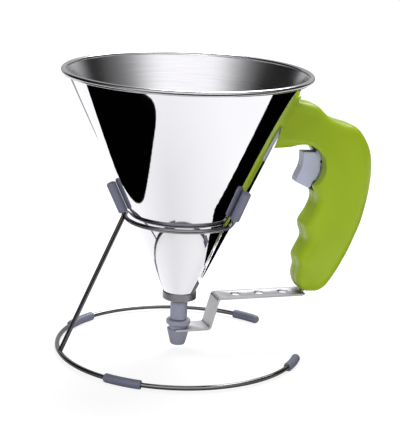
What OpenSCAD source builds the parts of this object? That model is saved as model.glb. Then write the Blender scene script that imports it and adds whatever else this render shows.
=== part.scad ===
// Trigger-operated batter funnel on a wire stand.
// The funnel stands upright on the Z axis with its small end down, and z = 0 is the table.
// The handle points along +X, the leg of the stand is on the -X side.

/* [Funnel] */
// Outside diameter over the rolled rim
rim_d = 160; // [150:1:170]
// Height of the sheet cone from the collar to the top of the rim
cone_h = 145.7; // [138:0.1:152]
// Outside diameter of the small end of the cone
cone_end_d = 21; // [19:0.1:21.6]
// Thickness of the cone sheet
cone_wall = 0.9; // [0.6:0.1:1.2]
// Diameter of the rolled bead around the rim
bead_d = 3.4; // [2.6:0.1:4.4]

/* [Outlet] */
// Gap between the closed nozzle cap and the table
table_gap = 3.6; // [3.4:0.1:6]
// Outside diameter of the steel collar under the cone
collar_d = 22.1; // [22:0.1:26]
// Height of the collar
collar_h = 6.4; // [5.8:0.1:9]
// Diameter of the thread that holds the nozzle tube in the collar
thread_d = 12.8; // [12.2:0.1:13.4]
// Outside diameter of the nozzle tube below the collar
tube_d = 11.2; // [10.4:0.1:12]
// Length of the nozzle tube between the collar and its shoulder
tube_len = 12.5; // [11:0.1:16]
// Diameter of the spigot that slides in the cap
spigot_d = 8.4; // [8:0.1:8.8]
// Bore of the nozzle tube
tube_bore = 6.4; // [5.8:0.1:6.8]
// Diameter of the needle rod
needle_d = 2.6; // [2.2:0.1:3.2]
// Height of the nozzle cap
cap_h = 17.2; // [16.4:0.1:19]
// Diameter of the cap at its top flange
cap_d = 16; // [15.2:0.1:18]
// Height of the tapered foot of the cap
cap_foot_h = 10.6; // [10:0.1:11.4]
// Diameter of the hole that the batter leaves by
outlet_d = 5; // [4:0.1:5.6]

/* [Closing arm] */
// Width of the steel strip
arm_w = 16.5; // [15.6:0.1:18]
// Thickness of the steel strip
arm_t = 1.4; // [1:0.1:1.8]
// Diameter of the three round holes
arm_hole_d = 7; // [4:0.1:8.5]
// Distance between the round holes
arm_hole_pitch = 16.6; // [14:0.1:18]
// How far the cap opens downwards
cap_stroke = 3; // [2:0.1:3.2]

/* [Handle] */
// Distance from the funnel's axis to the trigger notch
notch_x = 77.2; // [76:0.1:80]
// Height of the trigger notch above the small end of the cone
notch_up = 82.4; // [79:0.1:86]
// Radius of the trigger notch
notch_r = 15.5; // [15.3:0.1:16]
// Thickness of the shell walls
shell_wall = 2.2; // [1.8:0.1:2.4]
// Turn of the trigger from rest to fully pulled, in degrees
trigger_turn = 12; // [9:0.5:12]
// Width of the trigger
trigger_w = 9; // [8.6:0.1:12]
// Diameter of the trigger's hinge pin
pin_d = 3; // [2.5:0.1:3.4]
// Thickness of the bracket between the cone and the handle
bracket_t = 1.5; // [1:0.1:2]
// Diameter of the screws that hold the shells together
screw_d = 3; // [2.5:0.1:3.4]

/* [Stand] */
// Diameter of the stand's wire
wire_d = 3; // [2.6:0.1:3.6]
// Radius of the base hoop
hoop_r = 79.2; // [74:0.1:86]
// Opening of the base hoop under the handle, in degrees
hoop_open = 63; // [54:1:80]
// Height of the middle of the support ring above the table
ring_z = 90; // [84:0.5:96]
// Angle between the handle and each free prong, in degrees
prong_az = 50; // [42:1:60]
// Diameter of the soft sleeves
sleeve_d = 6; // [5.4:0.1:7]
// Length of the sleeves on the prongs
prong_sleeve_l = 21; // [16:0.5:26]
// Length of the foot sleeves on the hoop, as an angle
foot_angle = 18; // [14:0.5:26]
// Angle from the leg to each foot sleeve, in degrees
foot_az = 48.5; // [36:0.5:70]
// Length of the end caps on the hoop, as an angle
cap_angle = 13; // [10:0.5:20]

/* [Hidden] */
$fn = 64;

steel_col = "#c4c6ca";
polished_col = "#d4d6da";
lilac_col = "#9a9cb6";
sleeve_col = "#84869c";
green_col = "#8cab2c";
white_col = "#e4e4e4";
rubber_col = "#4a4c54";

eps = 0.01;
face_fit = 0.02;      // between pieces that are pressed or pushed on by hand
run_fit = 0.06;       // radial play of a shaft in its hole
free_gap = 0.3;       // between pieces that move past each other
cap_cover = 1;        // angle that the end caps reach beyond the wire
foot_flat = 0.1;      // depth of the worn flat under the hoop's sleeves

// ---------------------------------------------------------------- heights, from the table up
cap_z = table_gap;
cap_top = cap_z + cap_h;
shoulder_z = cap_top + 0.5;
collar_z = shoulder_z + tube_len;
cone_z = collar_z + collar_h;
rim_z = cone_z + cone_h;
bead_r = bead_d / 2;
cone_end_r = cone_end_d / 2;
// The bead is rolled outwards, so the sheet meets its inner side
cone_slope = (rim_d / 2 - bead_d + cone_wall - cone_end_r) / (cone_h - bead_r);
cone_lean = atan(cone_slope);
function cone_r(z) = cone_end_r + cone_slope * (z - cone_z);

// ---------------------------------------------------------------- outlet
collar_chamfer = 1.8;
collar_lip = 1.7;             // height of the lip over the gasket
gasket_t = 0.8;
thread_play = 0.02;
tube_lift = 0.3;              // start of the thread above the collar's lower face
tube_low = cap_z + 6;         // lower end of the spigot when closed
needle_tip_h = 2.4;
needle_tip_play = 0.08;
vane_h = 5;
vane_t = 1;
vane_count = 3;
cap_bore = spigot_d + 2 * free_gap;
cap_floor = 3.4;              // height of the cap's bottom
cap_neck_d = 12;
cap_flange_h = 3.2;
cap_foot_d = 14.8;
cap_tip_d = 10;
seal_d = 1.4;                 // section of the O-ring
seal_r = spigot_d / 2 + run_fit + seal_d / 2;
seal_z = cap_top - 2.2;

// ---------------------------------------------------------------- handle frame, origin at the notch
hx = notch_x;
hz = cone_z + notch_up;
shell_play = 0.1;
part_gap = 0.04;              // between the two shells
// Stations along the handle from the cone to the tip: inner edge, outer edge, half width
STATIONS = [
    [[-40, 13.8], [-26, 49], 12],
    [[-22, 13.8], [-10, 45.6], 12],
    [[-12, 13.8], [-1, 43.1], 12.2],
    [[-4, 13.8], [8.8, 40.7], 12.6],
    [[2, 13.5], [17, 33.5], 13],
    [[6, 11], [26, 29.6], 13.4],
    [[7.5, 6], [37.5, 25.8], 13.8],
    [[7.5, 0], [44.7, 17.2], 14],
    [[7.8, -6.5], [48.7, 7.5], 14.2],
    [[9, -13.2], [49.8, -3.2], 14.3],
    [[12.8, -21.8], [49, -16], 14.2],
    [[10, -31], [47, -28], 14],
    [[4.9, -39.6], [44.4, -39], 13.8],
    [[7.2, -48.9], [40.5, -49], 13.4],
    [[4.5, -55.5], [37.4, -56.8], 13],
    [[1.5, -62], [34.2, -63.4], 12.6],
    [[2.8, -68.3], [30.9, -69.8], 12],
    [[1.8, -74.5], [27, -76], 11.4],
    [[3, -80.5], [23, -81.8], 10.2],
    [[6, -84.6], [18.5, -85.3], 7.5],
    [[9, -85.8], [15, -86], 3]
];
tip_z = -86;
station_steps = 2;
half_sides = 10;
section_power = 0.8;          // 1 is an ellipse, smaller is squarer

// ---------------------------------------------------------------- mechanism, in the handle frame
pivot = [16.3, 10.3];
boss_r = 3.6;
boss_end = trigger_w / 2 + free_gap;
ear_r = 4;
drive_d = 3;
drive_end = trigger_w / 2 - 0.5;   // the drive pin stops inside the trigger's cheeks
drive_rest = pivot + [-5, -15];
drive_pulled = pivot + turned(drive_rest - pivot, trigger_turn);
slot_run = drive_pulled - drive_rest + [0, cap_stroke];
slot_d = drive_d + 2 * free_gap + 0.1;
rod_x = 14;                   // stem of the push rod
rod_w = 8;                    // foot on the arm
nose_w = 5;                   // nose between the trigger's cheeks
stem_d = 5;
foot_top = -73.5;
foot_h = 6;
foot_back = 16.5;
flange_z = -41;
flange_d = 10;
flange_t = 2;
column_front = 21;
column_back = 27;
nose_low = -10.5;
nose_top = 2;
cavity_w = nose_w + 2 * free_gap;
guide_low = -70.5;
guide_top = -65.5;
guide_front = 7.5;
guide_back = 26;
guide_w = 15;
guide_screw_z = (guide_low + guide_top) / 2;
guide_head_x = 31.2;
guide_head_d = 5;
spring_wire = 0.8;
spring_r = 3.6;
spring_turns = 8;
SHELL_SCREWS = [[-5, 29], [12, 24], [36, -8], [27, -50]];
screw_boss_r = 3.4;
screw_boss_end = 11.8;        // outer ends of the bosses, a little inside the wall
pin_boss_end = 12.2;
notch_wall = 1.8;             // thickness of the notch's lining beside the trigger
screw_head_d = 5.6;
screw_head_h = 2;
screw_socket_d = 2.2;
screw_len = 20;
screw_head_y = screw_len / 2 - 1;
tongue_t = 1.5;
tongue_low = 20;
tongue_top = 33.5;
tongue_end = 17;
saddle_low = 14.6;
saddle_top = 44;
saddle_half = 10.5;           // half angle of the saddle around the cone

// ---------------------------------------------------------------- closing arm
arm_z = cap_z + cap_foot_h + arm_t / 2;
arm_top_gap = 0.6;            // under the tip of the handle
arm_high_z = hz + tip_z - arm_top_gap - arm_t / 2;
arm_low_end = 19.5;           // where the strip starts to rise
arm_high_start = 25;          // where it is level again
arm_tip = -4;                 // end of the fork
arm_bend_r = 2.2;
leg_x = hx + 8;
leg_w = 8;
leg_top = hz - 73;
fork_play = 0.25;
holes_x = 38.8;
rivet_d = 2.4;
rivet_z = hz - 76.5;
rivet_y = 2.2;

// ---------------------------------------------------------------- stand
wire_r = wire_d / 2;
sleeve_r = sleeve_d / 2;
hoop_z = sleeve_r - foot_flat;
prong_off = (sleeve_r + free_gap) / cos(cone_lean);   // from the cone to a prong, measured level
ring_bend = 5;
prong_x = cone_r(ring_z) + prong_off;
ring_r = sqrt(pow(prong_x, 2) - pow(ring_bend, 2));
ring_end = prong_az + asin(ring_bend / prong_x);      // where the ring starts to bend up
prong_sleeve_z = 95;          // lower end of the prong sleeves
prong_top_wall = 1.2;
leg_bend = 4.5;
// The leg passes just outside the ring, touching it, and starts on the hoop
leg_foot = [hoop_r, hoop_z];
ring_spot = [ring_r, ring_z];
leg_dir = atan2(ring_z - hoop_z, ring_r - hoop_r) - asin((wire_d + eps) / norm(ring_spot - leg_foot));
// Vertex between the leg and the prong above it
leg_tan = cos(leg_dir) / sin(leg_dir);
vertex_z = (hoop_r - leg_tan * hoop_z - cone_r(0) - prong_off) / (cone_slope - leg_tan);
vertex_r = cone_r(vertex_z) + prong_off;
leg_len = norm([vertex_r, vertex_z] - leg_foot);
leg_lean = atan2(hoop_r - vertex_r, vertex_z - hoop_z);

// ================================================================ functions
function turned(v, a) = [v[0] * cos(a) - v[1] * sin(a), v[0] * sin(a) + v[1] * cos(a)];
function unit(v) = v / norm(v);

// Catmull-Rom spline through the rows of a table, n steps between neighbours
function row(t, i) = t[max(0, min(len(t) - 1, i))];
function spline_at(t, i, u) =
    0.5 * (2 * row(t, i) + u * (row(t, i + 1) - row(t, i - 1))
    + u * u * (2 * row(t, i - 1) - 5 * row(t, i) + 4 * row(t, i + 1) - row(t, i + 2))
    + u * u * u * (3 * row(t, i) - row(t, i - 1) - 3 * row(t, i + 1) + row(t, i + 2)));
function spline(t, n) = [
    for (i = [0 : len(t) - 2], j = [0 : n - 1]) spline_at(t, i, j / n),
    t[len(t) - 1]
];

// Outline of a strip of thickness t along a level-and-sloped path with rounded bends
function bend(a, b, c, r) =
    let (u = unit(b - a), v = unit(c - b))
    let (turn = atan2(u[0] * v[1] - u[1] * v[0], u * v))
    let (side = sign(turn), cut = r * tan(abs(turn) / 2), steps = 6)
    let (centre = b - u * cut + side * r * [-u[1], u[0]])
    [for (k = [0 : steps]) centre + turned(-side * r * [-u[1], u[0]], turn * k / steps)];
function strip_middle(p, r) = [
    p[0],
    for (i = [1 : len(p) - 2], q = bend(p[i - 1], p[i], p[i + 1], r)) q,
    p[len(p) - 1]
];
function strip_side(m, i) =
    let (d = unit(row(m, i + 1) - row(m, i)), e = unit(row(m, i) - row(m, i - 1)))
    let (dd = i >= len(m) - 1 ? e : d, ee = i == 0 ? d : e)
    let (n = unit([-dd[1] - ee[1], dd[0] + ee[0]]))
    n / (n * [-dd[1], dd[0]]);
function strip_outline(m, t) = concat(
    [for (i = [0 : len(m) - 1]) m[i] + strip_side(m, i) * t / 2],
    [for (i = [len(m) - 1 : -1 : 0]) m[i] - strip_side(m, i) * t / 2]
);

// ================================================================ shared shapes
// Everything given in the handle frame's X and Z is drawn as X and Y, then stood up
module stand_up(width) {
    rotate([90, 0, 0]) linear_extrude(width, center = true) children();
}
module in_handle() {
    translate([hx, 0, hz]) children();
}
module across(p, d, from, to, fn = 64) {
    translate([p[0], from, p[1]]) rotate([-90, 0, 0]) cylinder(d = d, h = to - from, $fn = fn);
}
module hoop_arc(section_d, from, angle, fn = 120) {
    rotate([0, 0, from])
        rotate_extrude(angle = angle, $fn = fn)
            translate([hoop_r, 0]) circle(d = section_d, $fn = 32);
}

// ================================================================ stand
module base_hoop() {
    color(steel_col)
        translate([0, 0, hoop_z])
            hoop_arc(wire_d, hoop_open / 2, 360 - hoop_open);
}

// A straight wire from the hoop, bent outwards at the ring into the prong behind the cone
module leg_path() {
    half_bend = (leg_lean + cone_lean) / 2;
    cut = leg_bend * tan(half_bend);
    mirror([1, 0, 0]) {
        translate([hoop_r, 0, hoop_z])
            rotate([0, -leg_lean, 0]) {
                cylinder(d = wire_d, h = leg_len - cut, $fn = 32);
                translate([0, 0, leg_len - cut]) sphere(d = wire_d + 2 * eps, $fn = 32);
            }
        translate([vertex_r, 0, vertex_z])
            rotate([0, cone_lean, 0]) {
                translate([0, 0, cut]) sphere(d = wire_d + 2 * eps, $fn = 32);
                translate([0, 0, cut]) cylinder(d = wire_d, h = prong_end(vertex_z) - cut, $fn = 32);
                translate([leg_bend, 0, cut])
                    rotate([90, 0, 0]) rotate([0, 0, 180])
                        rotate_extrude(angle = 2 * half_bend, $fn = 96)
                            translate([leg_bend, 0]) circle(d = wire_d, $fn = 32);
            }
    }
}
// Length of a prong's wire from height z to its end inside the sleeve
function prong_end(z) = (prong_sleeve_z - z) / cos(cone_lean) + prong_sleeve_l - prong_top_wall;

module leg_wire() {
    color(steel_col)
        difference() {
            leg_path();
            translate([0, 0, hoop_z]) hoop_arc(wire_d, 0, 360);
        }
}

// Frame of a free prong on the near side: its wire runs along Z
module at_prong() {
    rotate([0, 0, -ring_end]) translate([ring_r, 0, ring_z]) rotate([0, cone_lean, 0])
        translate([0, ring_bend, 0]) children();
}
// One free end of the ring, bent up along the cone
module ring_prong() {
    at_prong() {
        translate([0, -ring_bend, ring_bend])
            rotate([0, 90, 0])
                rotate_extrude(angle = 90, $fn = 96)
                    translate([ring_bend, 0]) circle(d = wire_d, $fn = 32);
        translate([0, 0, ring_bend])
            cylinder(d = wire_d, h = prong_end(ring_z) - ring_bend, $fn = 32);
        // Balls that close the wire where it starts and ends to bend
        translate([0, -ring_bend, 0]) sphere(d = wire_d + 2 * eps, $fn = 32);
        translate([0, 0, ring_bend]) sphere(d = wire_d + 2 * eps, $fn = 32);
    }
}
module support_ring() {
    color(steel_col) {
        translate([0, 0, ring_z])
            rotate([0, 0, ring_end])
                rotate_extrude(angle = 360 - 2 * ring_end, $fn = 96)
                    translate([ring_r, 0]) circle(d = wire_d, $fn = 32);
        ring_prong();
        mirror([0, 1, 0]) ring_prong();
    }
}

module foot_sleeve() {
    color(sleeve_col)
        difference() {
            translate([0, 0, hoop_z]) hoop_arc(sleeve_d, 180 + foot_az - foot_angle / 2, foot_angle);
            translate([0, 0, hoop_z]) hoop_arc(wire_d + 2 * face_fit, 0, 360);
            under_table();
        }
}
module under_table() {
    translate([0, 0, -sleeve_d])
        cube([2 * (hoop_r + 2 * sleeve_d), 2 * (hoop_r + 2 * sleeve_d), 2 * sleeve_d], center = true);
}
module foot_sleeve_near() { foot_sleeve(); }
module foot_sleeve_far() { mirror([0, 1, 0]) foot_sleeve(); }

// Closed soft cap over one end of the hoop, with a round nose
module end_cap() {
    start = -hoop_open / 2 - cap_angle + cap_cover;
    color(sleeve_col)
        difference() {
            translate([0, 0, hoop_z]) {
                hoop_arc(sleeve_d, start, cap_angle);
                rotate([0, 0, start + cap_angle])
                    translate([hoop_r, 0, 0]) sphere(d = sleeve_d + 2 * eps, $fn = 48);
            }
            translate([0, 0, hoop_z])
                hoop_arc(wire_d + 2 * face_fit, start - 1, cap_angle + 1 - cap_cover);
            under_table();
        }
}
module end_cap_near() { end_cap(); }
module end_cap_far() { mirror([0, 1, 0]) end_cap(); }

// Soft cap on a prong, with a rounded closed top
module prong_sleeve() {
    start = (prong_sleeve_z - ring_z) / cos(cone_lean);
    round_r = 1.2;
    color(sleeve_col)
            difference() {
                translate([0, 0, start])
                    rotate_extrude($fn = 48)
                        polygon(concat(
                            [[0, 0], [sleeve_r, 0]],
                            [for (a = [0 : 15 : 90])
                                [sleeve_r - round_r + round_r * cos(a),
                                 prong_sleeve_l - round_r + round_r * sin(a)]],
                            [[0, prong_sleeve_l]]));
                cylinder(d = wire_d + 2 * face_fit, h = prong_end(ring_z) + face_fit, $fn = 32);
            }
}
module prong_sleeve_leg() {
    rotate([0, 0, 180]) translate([prong_x, 0, ring_z]) rotate([0, cone_lean, 0]) prong_sleeve();
}
module prong_sleeve_near() { at_prong() prong_sleeve(); }
module prong_sleeve_far() { mirror([0, 1, 0]) at_prong() prong_sleeve(); }

// ================================================================ funnel
module funnel_cone() {
    bead_z = rim_z - bead_r;
    wall = cone_wall / cos(cone_lean);
    color(polished_col)
        rotate_extrude($fn = 144) {
            polygon([
                [cone_end_r - wall, cone_z],
                [cone_end_r, cone_z],
                [cone_r(bead_z), bead_z],
                [cone_r(bead_z) - wall, bead_z]
            ]);
            translate([rim_d / 2 - bead_r, bead_z]) circle(r = bead_r, $fn = 32);
        }
}

// Turned ring under the cone, threaded for the nozzle tube, with a lip over the gasket
module outlet_collar() {
    r = collar_d / 2;
    thread_r = thread_d / 2;
    lip_z = cone_z - collar_lip;
    color(steel_col)
        rotate_extrude($fn = 96)
            polygon([
                [thread_r, collar_z],
                [thread_r + 0.8, collar_z],
                [r, collar_z + collar_chamfer],
                [r, cone_z],
                [cone_end_r - cone_wall / cos(cone_lean), cone_z],
                [tube_bore / 2 + 0.6, lip_z + 0.3],
                [tube_bore / 2 + 0.6, lip_z],
                [thread_r, lip_z]
            ]);
}

module collar_gasket() {
    lip_z = cone_z - collar_lip;
    color(rubber_col)
        translate([0, 0, lip_z - gasket_t])
            difference() {
                cylinder(d = thread_d - 2 * face_fit, h = gasket_t);
                translate([0, 0, -eps]) cylinder(d = tube_bore + 1.2, h = gasket_t + 2 * eps);
            }
}

// Threaded head in the collar, a plain tube below it, and a spigot that the cap slides on
module nozzle_tube() {
    head_top = cone_z - collar_lip - gasket_t;
    color(lilac_col)
        rotate_extrude($fn = 96)
            polygon([
                [tube_bore / 2, tube_low],
                [spigot_d / 2 - 0.4, tube_low],
                [spigot_d / 2, tube_low + 0.8],
                [spigot_d / 2, shoulder_z],
                [tube_d / 2, shoulder_z],
                [tube_d / 2, collar_z + tube_lift],
                [thread_d / 2 - thread_play, collar_z + tube_lift + 0.4],
                [thread_d / 2 - thread_play, head_top],
                [tube_bore / 2, head_top]
            ]);
}

// Rod in the middle of the tube: its plug closes the outlet until the cap moves down
module valve_needle() {
    plug_low = cap_z + 0.6;
    vane_z = shoulder_z + tube_len / 2;
    color(steel_col) {
        rotate_extrude($fn = 48)
            polygon([
                [0, plug_low],
                [outlet_d / 2 - needle_tip_play - 0.5, plug_low],
                [outlet_d / 2 - needle_tip_play, plug_low + 0.5],
                [outlet_d / 2 - needle_tip_play, plug_low + needle_tip_h],
                [needle_d / 2, plug_low + needle_tip_h + 1.2],
                [needle_d / 2, vane_z + vane_h],
                [0, vane_z + vane_h]
            ]);
        difference() {
            intersection() {
                translate([0, 0, vane_z]) cylinder(d = tube_bore - 2 * face_fit, h = vane_h);
                for (i = [0 : vane_count - 1])
                    rotate([0, 0, 180 + i * 360 / vane_count])
                        translate([0, -vane_t / 2, vane_z]) cube([tube_bore, vane_t, vane_h]);
            }
            translate([0, 0, vane_z - eps]) cylinder(d = needle_d - 2 * eps, h = vane_h + 2 * eps);
        }
    }
}

// ================================================================ handle
// Saddle spot-welded to the cone, with a tongue that the two shells clamp
module handle_bracket() {
    low = hz + saddle_low;
    top = hz + saddle_top;
    color(steel_col)
        difference() {
            union() {
                rotate([0, 0, -saddle_half])
                    rotate_extrude(angle = 2 * saddle_half, $fn = 144)
                        polygon([
                            [cone_r(low) + face_fit, low],
                            [cone_r(low) + bracket_t, low],
                            [cone_r(top) + bracket_t, top],
                            [cone_r(top) + face_fit, top]
                        ]);
                in_handle()
                    stand_up(tongue_t)
                        polygon([
                            [cone_r(hz + tongue_low) - hx + bracket_t / 2, tongue_low],
                            [tongue_end, tongue_low],
                            [tongue_end, tongue_top - 4],
                            [tongue_end - 4, tongue_top],
                            [cone_r(hz + tongue_top) - hx + bracket_t / 2, tongue_top]
                        ]);
            }
            in_handle()
                for (i = [0 : 1])
                    across(SHELL_SCREWS[i], screw_d + 2 * run_fit, -tongue_t, tongue_t);
        }
}

// Half of the handle's skin as one thin solid: sections swept from the cone to the tip
function section_point(s, a, inset) =
    let (u = unit(s[1] - s[0]) * inset)
    let (f = s[0] + u, b = s[1] - u, w = s[2] - inset)
    let (mid = (f + b) / 2, d = (b - f) / 2, c = cos(a))
    let (q = mid + d * sign(c) * pow(abs(c), section_power))
    let (z = inset > 0 ? max(q[1], tip_z + inset) : q[1])
    [q[0], -w * pow(abs(sin(a)), section_power) - part_gap / 2, z];
module shell_skin() {
    t = spline(STATIONS, station_steps);
    n = len(t);
    m = half_sides + 1;
    pts = [
        for (inset = [0, shell_wall], s = t, k = [0 : half_sides])
            section_point(s, 180 * k / half_sides, inset)
    ];
    function at(layer, i, k) = layer * n * m + i * m + k;
    faces = [
        for (i = [0 : n - 2], k = [0 : half_sides - 1])
            each [[at(0, i, k), at(0, i + 1, k), at(0, i, k + 1)],
                  [at(0, i + 1, k), at(0, i + 1, k + 1), at(0, i, k + 1)]],
        for (i = [0 : n - 2], k = [0 : half_sides - 1])
            each [[at(1, i, k), at(1, i, k + 1), at(1, i + 1, k)],
                  [at(1, i + 1, k), at(1, i, k + 1), at(1, i + 1, k + 1)]],
        for (i = [0 : n - 2], k = [0, half_sides])
            each k == 0
                ? [[at(0, i, k), at(1, i, k), at(0, i + 1, k)],
                   [at(1, i, k), at(1, i + 1, k), at(0, i + 1, k)]]
                : [[at(0, i, k), at(0, i + 1, k), at(1, i, k)],
                   [at(1, i, k), at(0, i + 1, k), at(1, i + 1, k)]],
        for (k = [0 : half_sides - 1])
            each [[at(0, 0, k), at(0, 0, k + 1), at(1, 0, k)],
                  [at(0, 0, k + 1), at(1, 0, k + 1), at(1, 0, k)]],
        [for (k = [half_sides : -1 : 0]) at(0, n - 1, k)],
        [for (k = [0 : half_sides]) at(1, n - 1, k)],
        [at(0, n - 1, half_sides), at(0, n - 1, 0), at(1, n - 1, 0), at(1, n - 1, half_sides)]
    ];
    polyhedron(pts, faces, convexity = 8);
}
// The same sections around the notch as one closed solid, used to trim the notch's lining
module body_beside_notch(inset) {
    t = spline([for (i = [1 : 11]) STATIONS[i]], station_steps);
    n = len(t);
    m = half_sides + 1;
    pts = [for (s = t, k = [0 : half_sides]) section_point(s, 180 * k / half_sides, inset)];
    faces = [
        for (i = [0 : n - 2], k = [0 : half_sides - 1])
            let (a = i * m + k, b = a + m)
            each [[a, b, a + 1], [b, b + 1, a + 1]],
        for (i = [0 : n - 2])
            let (a = i * m, b = a + m)
            each [[a, a + half_sides, b], [a + half_sides, b + half_sides, b]],
        [for (k = [0 : half_sides]) k],
        [for (k = [half_sides : -1 : 0]) (n - 1) * m + k]
    ];
    polyhedron(pts, faces, convexity = 6);
}
module cone_clear() {
    low = cone_z;
    reach = bracket_t + shell_play;
    translate([0, 0, low])
        cylinder(r1 = cone_r(low) + reach, r2 = cone_r(rim_z) + reach, h = rim_z - low, $fn = 144);
}
// Room that the trigger needs inside the shells behind the notch
module trigger_room() {
    stand_up(trigger_w + 2 * free_gap)
        polygon([
            [3, -17.3], [3, 12.9], [9, 13.2], [pivot[0] - 3, pivot[1] + ear_r + 0.5],
            [pivot[0] + ear_r + 0.5, pivot[1] + ear_r + 0.5], [21, 9], [20, 0], [17.5, -12], [14.5, -17.3]
        ]);
}
// A screw boss ends on the bracket's tongue, or else at the seam
function boss_face(p) = p[1] > tongue_low ? tongue_t / 2 : part_gap / 2;
module shell_half() {
    open_r = screw_d / 2 + run_fit;
    difference() {
        union() {
            difference() {
                in_handle() shell_skin();
                in_handle() trigger_room();
            }
            in_handle() {
                for (p = SHELL_SCREWS) across(p, 2 * screw_boss_r, -screw_boss_end, -boss_face(p));
                across(pivot, 2 * boss_r, -pin_boss_end, -boss_end);
                intersection() {
                    body_beside_notch(shell_wall / 2);
                    across([0, 0], 2 * (notch_r + notch_wall), -notch_r, -boss_end);
                }
            }
        }
        cone_clear();
        in_handle() {
            across([0, 0], 2 * notch_r, -notch_r, eps);
            across(pivot, pin_d + 2 * face_fit, -boss_end - 2, 0);
            guide_box(face_fit);
            translate([guide_back - 1, 0, guide_screw_z])
                rotate([0, 90, 0]) cylinder(r = open_r, h = 12);
            translate([guide_head_x, 0, guide_screw_z])
                rotate([0, 90, 0]) cylinder(d = guide_head_d + 2 * face_fit, h = 6);
            translate([leg_x - hx, 0, tip_z])
                cube([arm_t + 2 * free_gap, leg_w + 2 * free_gap, 12], center = true);
        }
    }
}

module handle_shell_near() {
    color(green_col)
        difference() {
            shell_half();
            in_handle() for (p = SHELL_SCREWS) across(p, screw_d, -screw_len / 2, 0);
        }
}
module handle_shell_far() {
    color(green_col)
        difference() {
            mirror([0, 1, 0]) shell_half();
            in_handle()
                for (p = SHELL_SCREWS) {
                    across(p, screw_d + 2 * run_fit, 0, screw_len);
                    across(p, screw_head_d + 2 * free_gap, screw_head_y, screw_len);
                }
        }
}

// Pan-head screws put in from the far side
module shell_screws() {
    color(steel_col)
        in_handle()
            for (p = SHELL_SCREWS) {
                across(p, screw_d - 2 * eps, -screw_len / 2, screw_head_y);
                difference() {
                    across(p, screw_head_d, screw_head_y, screw_head_y + screw_head_h);
                    across(p, screw_socket_d, screw_head_y + 1, screw_head_y + screw_head_h + 1);
                }
            }
}

// Block in the grip that the stem of the push rod slides through
module guide_box(grow) {
    translate([guide_front - grow, -guide_w / 2 - grow, guide_low - grow])
        cube([guide_back - guide_front + 2 * grow, guide_w + 2 * grow, guide_top - guide_low + 2 * grow]);
}
module guide_block() {
    color(white_col)
        in_handle()
            difference() {
                guide_box(0);
                translate([rod_x, 0, guide_low - 1])
                    cylinder(d = stem_d + 2 * run_fit, h = guide_top - guide_low + 2);
                translate([rod_x + 5, 0, guide_screw_z])
                    rotate([0, 90, 0]) cylinder(d = screw_d, h = guide_back);
            }
}
module guide_screw() {
    start = rod_x + 5.5;
    color(steel_col)
        in_handle()
            translate([0, 0, guide_screw_z]) rotate([0, 90, 0]) {
                translate([0, 0, start]) cylinder(d = screw_d - 2 * eps, h = guide_head_x - start + 0.2);
                difference() {
                    translate([0, 0, guide_head_x])
                        cylinder(d1 = guide_head_d, d2 = guide_head_d - 1, h = 1.8);
                    translate([0, 0, guide_head_x + 1.2]) cylinder(d = 2, h = 1);
                }
            }
}

module return_spring() {
    low = guide_top + spring_wire / 2;
    high = flange_z - spring_wire / 2;
    sides = 8;
    steps = 14 * spring_turns;
    n = steps + 1;
    function ring_at(i) =
        let (a = 360 * spring_turns * i / steps, z = low + (high - low) * i / steps)
        [for (k = [0 : sides - 1])
            let (r = spring_r + spring_wire / 2 * cos(360 * k / sides))
            [rod_x + r * cos(a), r * sin(a), z + spring_wire / 2 * sin(360 * k / sides)]];
    pts = [for (i = [0 : steps], q = ring_at(i)) q];
    faces = [
        [for (k = [0 : sides - 1]) k],
        for (i = [0 : steps - 1], k = [0 : sides - 1])
            let (k2 = (k + 1) % sides)
            each [[i * sides + k, (i + 1) * sides + k, i * sides + k2],
                  [(i + 1) * sides + k, (i + 1) * sides + k2, i * sides + k2]],
        [for (k = [sides - 1 : -1 : 0]) steps * sides + k]
    ];
    color(steel_col) in_handle() polyhedron(pts, faces, convexity = 10);
}

module trigger_pin() {
    color(steel_col) in_handle() across(pivot, pin_d, -boss_end - 2 + face_fit, boss_end + 2 - face_fit);
}

// ================================================================ trigger
module trigger() {
    back_r = notch_r - 0.6;
    color(lilac_col)
        in_handle()
            difference() {
                stand_up(trigger_w)
                    polygon(concat(
                        [[2.3, 9.3], [2.5, 5], [2.3, 1.5], [1.5, -1.6], [0.2, -4.4], [-1.1, -7.2]],
                        [[-1.8, -9.4], [-1.5, -10.8], [6.9, -14.9], [8.6, -14.4]],
                        [for (a = [-47 : 10 : 13]) back_r * [cos(a), sin(a)]],
                        [pivot + [ear_r * cos(-60), ear_r * sin(-60)]],
                        [for (a = [-20 : 20 : 160]) pivot + ear_r * [cos(a), sin(a)]],
                        [[11.2, 8.9]]));
                across(pivot, pin_d + 2 * run_fit, -trigger_w, trigger_w);
                across(drive_rest, drive_d, -drive_end, drive_end);
                // Slot that the nose of the push rod stays clear in
                stand_up(cavity_w)
                    polygon([[5.6, 18], [5.6, 3], [2.8, -12], [2.8, -18], [25, -18], [25, 18]]);
            }
}
module drive_pin() {
    color(steel_col)
        in_handle() across(drive_rest, drive_d - 2 * eps, -drive_end + eps, drive_end - eps);
}

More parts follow.
